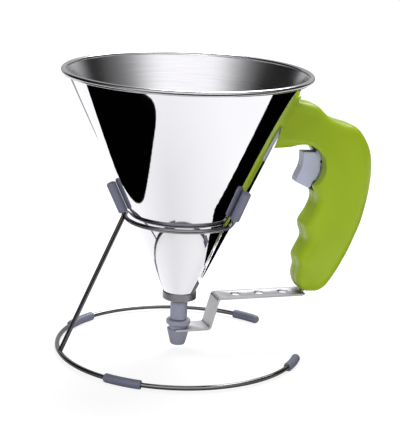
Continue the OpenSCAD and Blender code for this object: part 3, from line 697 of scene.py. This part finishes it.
arm_path = [
    (arm_tip_x, arm_z),
    (arm_rise[0], arm_z),
    (arm_rise[1], arm_high_z),
    (tongue_x, arm_high_z),
    (tongue_x, tongue_top_z),
]
arm = filled_prism("closing_arm_strip", strip_outline(bent_line(arm_path, arm_bend_r), arm_t), arm_w)
under_fork, over_fork = arm_z - tool_over, arm_z + tool_over
under_strip, over_strip = arm_high_z - tool_over, arm_high_z + tool_over
arm_tools = [
    round_bar("fork_drill", 2 * fork_slot_r, (0, 0, under_fork), (0, 0, over_fork), 64),
    block("fork_saw", (arm_tip_x - 5, -fork_slot_r, under_fork), (0, fork_slot_r, over_fork)),
]
for x in arm_holes:
    arm_tools.append(round_bar("hole_drill", arm_hole_d, (x, 0, under_strip), (x, 0, over_strip)))
for side in (-1, 1):
    low_y, high_y = sorted((side * tongue_w / 2, side * arm_w))
    saw_low = (tongue_x - tongue_saw_reach, low_y, arm_high_z + arm_t / 2)
    saw_high = (tongue_x + tongue_saw_reach, high_y, tongue_saw_top_z)
    arm_tools.append(block("tongue_saw", saw_low, saw_high))
cut_away(arm, *arm_tools)
finish_piece(arm)
round_edges(arm, 0.18, 2, 30)
bpy.ops.object.shade_smooth_by_angle(angle=math.radians(30))
strip_steel = brushed_steel("brushed_strip_steel", strip_colour, 0.30, 0.42, 0.3, 0.012, around=False)
arm.data.materials.append(strip_steel)
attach(arm, "arm")
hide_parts("closing_arm")


# Nozzle cap: turned from the same lilac-grey plastic, with a groove for the arm's fork, a
# tapered foot and an O-ring inside its mouth. It slides down the spigot to let batter out.
cap_z = 3.6
cap_top_z = 20.8
cap_ledge_z = 14.2
cap_neck_r = 6.0
cap_r = 8.0
cap_flange_z = 17.6
cap_bore_r = 4.5
cap_foot_r = 3.8
cap_ledge_r = 7.4
outlet_r = 2.5
seal_z = 18.6
seal_groove_r = 5.66
seal_groove = 0.7
nozzle_cap = turned_piece(
    "sliding_nozzle_cap",
    [
        (outlet_r, cap_z),
        (cap_foot_r, cap_z),
        (4.55, cap_z + 0.3),
        (5.0, cap_z + 1.2),
        (cap_ledge_r, cap_ledge_z),
        (cap_neck_r, cap_ledge_z),
        (cap_neck_r, cap_flange_z),
        (cap_r - 0.5, cap_flange_z),
        (cap_r, cap_flange_z + 0.5),
        (cap_r, cap_top_z - 0.6),
        (cap_r - 0.6, cap_top_z),
        (cap_bore_r, cap_top_z),
        (cap_bore_r, seal_z + seal_groove),
        (seal_groove_r, seal_z + seal_groove),
        (seal_groove_r, seal_z - seal_groove),
        (cap_bore_r, seal_z - seal_groove),
        (cap_bore_r, cap_z + 4.8),
        (outlet_r, cap_z + 3.4),
    ],
    30,
)
round_edges(nozzle_cap, 0.2, 3, 30)
nozzle_cap.data.materials.append(nozzle_plastic)
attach(nozzle_cap, "arm")
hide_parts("nozzle_cap")


# Trigger: one lilac-grey moulding with a hollowed finger face, hinged on a steel pin high
# in the grip. A slot in its back leaves room for the nose of the push rod.
hand_x = 77.2
hand_z = 122.6
pivot = (16.3, 10.3)
trigger_w = 9.0
trigger_back_r = 14.9
trigger_ear_r = 4.0
drive_at = (11.3, -4.7)
drive_hole_d = 3.0
pin_hole_d = 3.12
nose_slot_w = 5.6
trigger_colour = (0.50, 0.51, 0.68, 1)


def in_hand(x, z, y=0.0):
    """A point of the handle, counted from the middle of its trigger notch."""
    return (hand_x + x, y, hand_z + z)


def arc(centre, radius, first, last, steps):
    """Points on part of a circle, angles in degrees."""
    angles = [math.radians(first + (last - first) * i / steps) for i in range(steps + 1)]
    return [(centre[0] + radius * math.cos(a), centre[1] + radius * math.sin(a)) for a in angles]


def hand_prism(name, line, width):
    """A prism across the handle, its outline given in the handle's own measures."""
    return filled_prism(name, [in_hand(x, z)[::2] for x, z in line], width)


finger_face = [
    (2.3, 9.3),
    (2.5, 7),
    (2.5, 5),
    (2.45, 3),
    (2.3, 1.5),
    (2.0, 0),
    (1.5, -1.6),
    (0.9, -3),
    (0.2, -4.4),
    (-0.5, -5.8),
    (-1.1, -7.2),
    (-1.8, -9.4),
]
trigger_foot = [(-1.5, -10.8), (6.9, -14.9), (8.6, -14.4)]
trigger_back = arc((0, 0), trigger_back_r, -47, 13, 12)
trigger_ear = [*arc(pivot, trigger_ear_r, -40, 160, 16), (11.2, 8.9)]
trigger_line = [*finger_face, *trigger_foot, *trigger_back, *trigger_ear]
trigger = hand_prism("finger_trigger", trigger_line, trigger_w)
slot_line = [(5.6, 18), (5.6, 3), (2.8, -12), (2.8, -18), (25, -18), (25, 18)]
cut_away(
    trigger,
    hand_prism("nose_slot", slot_line, nose_slot_w),
    round_bar("pin_drill", pin_hole_d, in_hand(*pivot, -15), in_hand(*pivot, 15)),
    round_bar("drive_drill", drive_hole_d, in_hand(*drive_at, -4), in_hand(*drive_at, 4)),
)
finish_piece(trigger)
round_edges(trigger, 0.9, 4, 40)
bpy.ops.object.shade_smooth_by_angle(angle=math.radians(40))
trigger.data.materials.append(soft_plastic("trigger_plastic", trigger_colour, 0.34, 0.44, 0.5, 0.015))
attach(trigger, "trigger")
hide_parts("trigger")


# Return spring: a coil of spring wire around the push rod, between the guide block and the
# rod's flange. It holds the cap shut, and is squeezed when the trigger is pulled.
spring_wire = 0.8
spring_r = 3.6
spring_turns = 8
steps_in_turn = 24
spring_foot = (14.0, -65.5)
spring_length = 24.5
wire_start = Vector(in_hand(spring_foot[0] + spring_r, spring_foot[1] + spring_wire / 2)) * mm
spring_start = Matrix.Translation(wire_start) @ Matrix.Rotation(math.pi / 2, 4, "X")
spring = wire_end("return_spring_coil", spring_wire, spring_start, sides=10)
bpy.ops.object.mode_set(mode="OBJECT")
spring_axis = bpy.data.objects.new("spring_axis", None)
bpy.context.scene.collection.objects.link(spring_axis)
spring_axis.location = Vector(in_hand(*spring_foot)) * mm
bpy.context.view_layer.update()
coil = spring.modifiers.new("coil", "SCREW")
coil.object = spring_axis
coil.screw_offset = (spring_length - spring_wire) / spring_turns * mm
coil.iterations = spring_turns
coil.steps = steps_in_turn
coil.render_steps = steps_in_turn
bpy.ops.object.modifier_apply(modifier=coil.name)
bpy.data.objects.remove(spring_axis)
bpy.ops.object.mode_set(mode="EDIT")
bpy.ops.mesh.select_all(action="SELECT")
bpy.ops.mesh.remove_doubles(threshold=0.002 * mm)
bpy.ops.mesh.fill_holes(sides=0)
finish_piece(spring, 60)
spring.data.materials.append(pin_steel)
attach(spring, "funnel")
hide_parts("return_spring")
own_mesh(spring)


# Handle: two lime-green plastic shells, moulded with finger grooves, closed over the works
# and screwed together from the far side. A fine seam runs round the middle.
green_colour = (0.31, 0.435, 0.009, 1)
shell_wall = 2.2
seam_gap = 0.02
tip_z = -86.0
corner_share = 0.55
rows_between = 3
# Along the grip from the cone to the tip: inner edge, outer edge, half width
grip_lines = [
    ((-40, 12.6), (-26, 49), 12),
    ((-22, 12.7), (-10, 45.6), 12),
    ((-12, 13.0), (-1, 43.1), 12.2),
    ((-4, 13.6), (8.8, 40.7), 12.6),
    ((2, 13.5), (17, 33.5), 13),
    ((6, 11), (26, 29.6), 13.4),
    ((7.5, 6), (37.5, 25.8), 13.8),
    ((7.5, 0), (44.7, 17.2), 14),
    ((7.8, -6.5), (48.7, 7.5), 14.2),
    ((9, -13.2), (49.8, -3.2), 14.3),
    ((12.8, -21.8), (49, -16), 14.2),
    ((10, -31), (47, -28), 14),
    ((4.9, -39.6), (44.4, -39), 13.8),
    ((7.2, -48.9), (40.5, -49), 13.4),
    ((4.5, -55.5), (37.4, -56.8), 13),
    ((1.5, -62), (34.2, -63.4), 12.6),
    ((2.8, -68.3), (30.9, -69.8), 12),
    ((1.8, -74.5), (27, -76), 11.4),
    ((3, -80.5), (23, -81.8), 10.2),
    ((6, -84.6), (18.5, -85.3), 7.5),
    ((9, -85.8), (15, -86), 3),
]


def between(rows, i, u):
    """A smooth value between rows i and i + 1, drawn through their neighbours."""
    a, b, c, d = (rows[max(0, min(len(rows) - 1, i + k))] for k in (-1, 0, 1, 2))
    row = []
    for p, q, r, s in zip(a, b, c, d):
        curve = u * u * (2 * p - 5 * q + 4 * r - s) + u**3 * (3 * q - p - 3 * r + s)
        row.append(0.5 * (2 * q + u * (r - p) + curve))
    return row


given_rows = [[*inner, *outer, half] for inner, outer, half in grip_lines]
grip_rows = []
for i in range(len(given_rows) - 1):
    for k in range(rows_between):
        grip_rows.append(between(given_rows, i, k / rows_between))
grip_rows.append(given_rows[-1])


def grip_body(name, inset):
    """A rounded square ring, carried along the grip and fitted to each row on its way."""
    rings = []
    for ix, iz, ox, oz, half in grip_rows:
        way = Vector((ox - ix, oz - iz))
        length = way.length / 2 - inset
        if iz < tip_z + inset or length < 1 or half - inset < 1:
            continue
        middle = Vector(in_hand((ix + ox) / 2, (iz + oz) / 2)) * mm
        rings.append((middle, way, length * mm, (half - inset) * mm))
    bpy.ops.object.select_all(action="DESELECT")
    bpy.ops.mesh.primitive_plane_add(size=2)
    body = start_piece(name)
    bpy.ops.mesh.bevel(offset=corner_share, segments=6, affect="VERTICES")
    bpy.ops.mesh.select_all(action="SELECT")
    at, size, tilt = Vector((0, 0, 0)), Vector((1, 1, 1)), 0.0
    for n, (middle, way, length, half) in enumerate(rings):
        if n:
            run_on(Vector((0, 0, 0)))
        bpy.ops.transform.rotate(value=tilt, orient_axis="Y", center_override=at)
        now = Vector((length, half, 1))
        bpy.ops.transform.resize(value=[a / b for a, b in zip(now, size)], center_override=at)
        bpy.ops.transform.translate(value=middle - at)
        tilt = -math.atan2(way.y, way.x)
        bpy.ops.transform.rotate(value=-tilt, orient_axis="Y", center_override=middle)
        at, size = middle, now
    return finish_piece(body, 60)


notch_r = 15.5
notch_wall = 1.8
room_w = trigger_w + 0.6
trigger_room = [
    (3, -17.3),
    (3, 12.9),
    (9, 13.2),
    (13.3, 14.8),
    (20.8, 14.8),
    (21, 9),
    (20, 0),
    (17.5, -12),
    (14.5, -17.3),
]
cone_reach = 1.6
cone_tool_low, cone_tool_high = 70.0, 190.0
screw_spots = [(-5, 29), (12, 24), (36, -8), (27, -50)]
screw_hole_d = 3.1
screw_head_d = 6.2
boss_d = 6.8
boss_top = 11.9
bracket_half = 0.8
pin_boss_d = 7.2
pin_boss_top = 12.2
pin_seat_d = 3.04
guide_z = -68.0
guide_hole_d = 3.12
guide_head_d = 5.1
green_plastic = soft_plastic("lime_green_plastic", green_colour, 0.30, 0.40, 0.45, 0.02)
green_plastic.node_tree.nodes["Principled BSDF"].inputs["Specular IOR Level"].default_value = 0.35
grain_size = 0.5


def handle_shell(name, node, side):
    shell = grip_body(name, 0.0)
    cut_away(shell, grip_body("hollow", shell_wall))
    low_y, high_y = sorted((side * seam_gap, -side * 30))
    cut_away(
        shell,
        block("other_half", in_hand(-60, -100, low_y), in_hand(70, 70, high_y)),
        hand_prism("room", trigger_room, room_w),
    )
    lining = grip_body("notch_lining", shell_wall / 2)
    drum_start, drum_end = in_hand(0, 0, side * room_w / 2), in_hand(0, 0, side * 15)
    lining_drum = round_bar("lining_drum", 2 * (notch_r + notch_wall), drum_start, drum_end, 96)
    combine(lining, lining_drum, "INTERSECT")
    bosses = []
    for x, z in screw_spots:
        # The upper two stand on the bracket
        boss_foot = bracket_half if z > 20 else 0.05
        boss_start, boss_end = in_hand(x, z, side * boss_foot), in_hand(x, z, side * boss_top)
        bosses.append(round_bar("boss", boss_d, boss_start, boss_end))
    boss_start, boss_end = in_hand(*pivot, side * room_w / 2), in_hand(*pivot, side * pin_boss_top)
    bosses.append(round_bar("boss", pin_boss_d, boss_start, boss_end))
    for addition in (lining, *bosses):
        combine(shell, addition, "UNION")
    bpy.ops.object.select_all(action="DESELECT")
    bpy.ops.mesh.primitive_cone_add(
        vertices=128,
        radius1=(cone_radius(cone_tool_low) + cone_reach) * mm,
        radius2=(cone_radius(cone_tool_high) + cone_reach) * mm,
        depth=(cone_tool_high - cone_tool_low) * mm,
        location=(0, 0, (cone_tool_low + cone_tool_high) / 2 * mm),
    )
    cone_tool = finish_piece(start_piece("cone_tool"))
    tools = [
        cone_tool,
        round_bar("notch_tool", 2 * notch_r, in_hand(0, 0, -20), in_hand(0, 0, 20), 96),
        block("tongue_slot", in_hand(6.9, -92, -4.3), in_hand(9.1, -80, 4.3)),
        block("guide_pocket", in_hand(7.48, -70.52, -7.52), in_hand(26.02, -65.48, 7.52)),
        round_bar("guide_drill", guide_hole_d, in_hand(25, guide_z), in_hand(37, guide_z)),
        round_bar("guide_recess", guide_head_d, in_hand(31.2, guide_z), in_hand(37, guide_z)),
        round_bar("pin_drill", pin_seat_d, in_hand(*pivot, -12.7), in_hand(*pivot, 12.7)),
    ]
    for x, z in screw_spots:
        tools.append(round_bar("screw_drill", screw_hole_d, in_hand(x, z, -10), in_hand(x, z, 10)))
        if side > 0:
            tools.append(round_bar("head_drill", screw_head_d, in_hand(x, z, 9), in_hand(x, z, 20)))
    cut_away(shell, *tools)
    grain = shell.modifiers.new("mould_radius", "REMESH")
    grain.mode = "VOXEL"
    grain.voxel_size = grain_size * mm
    grain.use_smooth_shade = True
    bpy.ops.object.modifier_apply(modifier=grain.name)
    ease = shell.modifiers.new("ease", "SMOOTH")
    ease.factor = 0.5
    ease.iterations = 2
    bpy.ops.object.modifier_apply(modifier=ease.name)
    shell.data.materials.clear()
    shell.data.materials.append(green_plastic)
    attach(shell, "funnel")
    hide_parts(node)


handle_shell("near_handle_shell", "handle_shell_near", -1)
handle_shell("far_handle_shell", "handle_shell_far", 1)


# Studio: a pale floor that runs out of sight, three soft lamps and an even pale room. Black
# and grey cards and a graded tent around the table show in the polished steel alone.
eye = Vector((-0.2685, -0.8792, 0.3311))
looking = Vector((0.294, 0.922, -0.252))
eye_roll = math.radians(2.466)
picture_height = 430
focal_pixels = 1470.4
sensor = 36.0
camera = bpy.data.objects.new("camera", bpy.data.cameras.new("camera"))
bpy.context.scene.collection.objects.link(camera)
camera.data.sensor_fit = "VERTICAL"
camera.data.sensor_height = sensor
camera.data.lens = focal_pixels * sensor / picture_height
camera.data.clip_start = 0.01
camera.data.clip_end = 100
camera.matrix_world = (
    Matrix.Translation(eye)
    @ looking.to_track_quat("-Z", "Y").to_matrix().to_4x4()
    @ Matrix.Rotation(eye_roll, 4, "Z")
)
bpy.context.scene.camera = camera
bpy.context.scene.view_settings.view_transform = "Standard"

floor_size = 30.0
bpy.ops.object.select_all(action="DESELECT")
bpy.ops.mesh.primitive_plane_add(size=floor_size)
floor = finish_piece(start_piece("studio_floor"))


def bare_paint(name):
    """A studio paint with nothing in it yet: the material, its nodes and its links."""
    paint = bpy.data.materials.new(name)
    paint.use_nodes = True
    nodes, links = paint.node_tree.nodes, paint.node_tree.links
    nodes.remove(nodes["Principled BSDF"])
    return paint, nodes, links


floor_paint, nodes, links = bare_paint("pale_floor")
matt = nodes.new("ShaderNodeBsdfDiffuse")
matt.inputs["Color"].default_value = (0.8, 0.8, 0.8, 1)
shade = nodes.new("ShaderNodeBsdfDiffuse")
shade.inputs["Color"].default_value = (0.30, 0.30, 0.30, 1)
glow = nodes.new("ShaderNodeEmission")
glow.inputs["Color"].default_value = (1, 1, 1, 1)
away = nodes.new("ShaderNodeVectorMath")
away.operation = "LENGTH"
links.new(nodes.new("ShaderNodeTexCoord").outputs["Object"], away.inputs[0])
# Far from the lamps the floor is kept as pale as under them
floor_level = nodes.new("ShaderNodeMapRange")
floor_level.inputs["From Min"].default_value = 0.3
floor_level.inputs["From Max"].default_value = 1.8
floor_level.inputs["To Min"].default_value = 0.78
floor_level.inputs["To Max"].default_value = 0.91
links.new(away.outputs["Value"], floor_level.inputs["Value"])
links.new(floor_level.outputs["Result"], glow.inputs["Strength"])
seen = nodes.new("ShaderNodeAddShader")
links.new(shade.outputs["BSDF"], seen.inputs[0])
path = nodes.new("ShaderNodeLightPath")
# Painted shade: the wires close over the floor see it dark, standing in for the shade they cast on it
reach = nodes.new("ShaderNodeMapRange")
reach.inputs["From Min"].default_value = 12 * mm
reach.inputs["From Max"].default_value = 45 * mm
links.new(path.outputs["Ray Length"], reach.inputs["Value"])
far_glow = nodes.new("ShaderNodeMixShader")
links.new(reach.outputs["Result"], far_glow.inputs["Fac"])
links.new(glow.outputs["Emission"], far_glow.inputs[2])
links.new(far_glow.outputs["Shader"], seen.inputs[1])


def seen_directly(tree, light_path):
    """1 for the camera and for what polished metal or glass shows, 0 for plain light."""
    share = light_path.outputs["Is Camera Ray"]
    for kind in ("Is Glossy Ray", "Is Transmission Ray"):
        either = tree.nodes.new("ShaderNodeMath")
        either.operation = "ADD"
        either.use_clamp = True
        tree.links.new(share, either.inputs[0])
        tree.links.new(light_path.outputs[kind], either.inputs[1])
        share = either.outputs["Value"]
    return share


pick = nodes.new("ShaderNodeMixShader")
links.new(seen_directly(floor_paint.node_tree, path), pick.inputs["Fac"])
links.new(matt.outputs["BSDF"], pick.inputs[1])
links.new(seen.outputs["Shader"], pick.inputs[2])
links.new(pick.outputs["Shader"], nodes["Material Output"].inputs["Surface"])
floor.data.materials.append(floor_paint)

world = bpy.data.worlds.new("pale_room")
bpy.context.scene.world = world
world.use_nodes = True
nodes, links = world.node_tree.nodes, world.node_tree.links
room = nodes["Background"]
room.inputs["Color"].default_value = (1, 1, 1, 1)
room_level = nodes.new("ShaderNodeMapRange")
room_level.inputs["To Min"].default_value = 0.29
room_level.inputs["To Max"].default_value = 1.0
links.new(seen_directly(world.node_tree, nodes.new("ShaderNodeLightPath")), room_level.inputs["Value"])
links.new(room_level.outputs["Result"], room.inputs["Strength"])


def soft_lamp(name, place, target, width, height, power):
    lamp = bpy.data.objects.new(name, bpy.data.lights.new(name, "AREA"))
    bpy.context.scene.collection.objects.link(lamp)
    lamp.data.shape = "RECTANGLE"
    lamp.data.size, lamp.data.size_y = width, height
    lamp.data.energy = power
    way = (Vector(target) - Vector(place)).to_track_quat("-Z", "Y")
    lamp.matrix_world = Matrix.Translation(place) @ way.to_matrix().to_4x4()
    return lamp


soft_lamp("top_lamp", (0.45, 0.5, 1.3), (0.06, 0, 0.12), 1.0, 1.0, 24)
left_lamp = soft_lamp("left_lamp", (-0.95, -1.05, 0.95), (0.05, 0, 0.1), 0.7, 0.7, 9)
left_lamp.visible_glossy = False
front_lamp = soft_lamp("front_lamp", (0.05, -1.6, 0.75), (0.05, 0, 0.1), 0.6, 0.6, 6)
front_lamp.visible_glossy = False


def card_paint(name, level):
    """A card that glows at a set level, whatever the lamps do, and is no lamp."""
    paint, nodes, links = bare_paint(name)
    tone = nodes.new("ShaderNodeEmission")
    tone.inputs["Color"].default_value = (level, level, level * 1.05, 1)
    links.new(tone.outputs["Emission"], nodes["Material Output"].inputs["Surface"])
    return paint


card_black = card_paint("card_black", 0.0005)
card_grey = card_paint("card_grey", 0.40)


def only_in_shine(piece, material):
    """A part of the studio that shows in polished steel and nowhere else."""
    piece.data.materials.append(material)
    piece.visible_camera = False
    piece.visible_diffuse = False
    piece.visible_shadow = False
    piece.visible_transmission = False


def floor_card(name, outline, height, material=card_black):
    """A flat card just over the floor, given by its corners."""
    card = drawn_outline(name, [*outline, outline[0]])
    bpy.ops.mesh.remove_doubles(threshold=0.001 * mm)
    bpy.ops.mesh.edge_face_add()
    bpy.ops.transform.rotate(value=math.pi / 2, orient_axis="X", center_override=(0, 0, 0))
    bpy.ops.transform.translate(value=(0, 0, height * mm))
    finish_piece(card)
    only_in_shine(card, material)


left_outline = [
    (-122, 167), (-121, 11), (-125, -31), (-128, -77), (-128.5, -98), (-130, -108), (-134, -114),
    (-141, -116), (-150, -113), (-160, -106), (-185, -88), (-420, -88), (-420, 260), (-239, 214),
    (-184, 202), (-135, 189),
]
edge_outline = [
    (-108, 620), (-100, 560), (-95, 510), (-91, 468), (-89, 433), (-93, 385), (-105, 352),
    (-122, 372), (-134, 395), (-140, 425), (-150, 455), (-165, 470), (-175, 560),
]
floor_card("left_card", left_outline, 0.5)
floor_card("edge_card", edge_outline, 0.5, card_grey)
floor_card("front_card", [(-900, -190), (-900, -1200), (900, -1200), (900, -190)], 0.7)
floor_card("right_card", [(75, 260), (75, -42), (79, -72), (420, -68), (420, 260)], 0.6)

# A tent around the table, seen only in shine: white in front, grading to black at both
# sides, with a black skirt and a dark roof, so that round wires show dark lines
tent_r = 1.6
tent_low = 0.28
tent_high = 2.6


def tent_wall(name, low, high, material):
    bpy.ops.object.select_all(action="DESELECT")
    bpy.ops.mesh.primitive_cylinder_add(
        vertices=96,
        radius=tent_r,
        depth=high - low,
        end_fill_type="NOTHING",
        location=(0, 0, (low + high) / 2),
    )
    only_in_shine(finish_piece(start_piece(name)), material)


def graded_cloth(name, levels, strength):
    """A cloth that glows, graded round the table, and is no lamp. levels: direction in degrees from
    +X, grey level.
    """
    cloth, nodes, links = bare_paint(name)
    around_table = nodes.new("ShaderNodeTexGradient")
    around_table.gradient_type = "RADIAL"
    links.new(nodes.new("ShaderNodeTexCoord").outputs["Object"], around_table.inputs["Vector"])
    grading = nodes.new("ShaderNodeValToRGB")
    stops = grading.color_ramp.elements
    for direction, level in levels[1:-1]:
        stops.new((direction + 180) / 360).color = (level, level, level, 1)
    stops[0].color = (levels[0][1],) * 3 + (1,)
    stops[-1].color = (levels[-1][1],) * 3 + (1,)
    links.new(around_table.outputs["Fac"], grading.inputs["Fac"])
    shine = nodes.new("ShaderNodeEmission")
    links.new(grading.outputs["Color"], shine.inputs["Color"])
    shine.inputs["Strength"].default_value = strength
    links.new(shine.outputs["Emission"], nodes["Material Output"].inputs["Surface"])
    return cloth


tent_levels = [
    (-180, 0.12), (-171, 0.25), (-159, 0.5), (-147, 0.82), (-138, 0.93), (-74, 0.95), (-63, 0.82),
    (-51, 0.54), (-39, 0.27), (-27, 0.145), (-12, 0.08), (2, 0.015), (10, 0.006), (19, 0.006),
    (27, 0.2), (34, 0.42), (60, 0.36), (95, 0.4), (107, 0.48), (113, 0.02), (129, 0.006),
    (138, 0.006), (150, 0.006), (165, 0.02), (180, 0.13),
]
skirt_levels = [(-180, 0.01), (35, 0.01), (60, 0.4), (100, 0.4), (120, 0.01), (180, 0.01)]
tent_wall("tent_cloth", tent_low, tent_high, graded_cloth("graded_cloth", tent_levels, 1.42))
tent_wall("tent_skirt", 0.002, tent_low, graded_cloth("skirt_cloth", skirt_levels, 1.0))
bpy.ops.object.select_all(action="DESELECT")
roof_place = (0, 0, tent_high)
bpy.ops.mesh.primitive_circle_add(vertices=96, radius=tent_r, fill_type="NGON", location=roof_place)
only_in_shine(finish_piece(start_piece("tent_roof")), card_black)
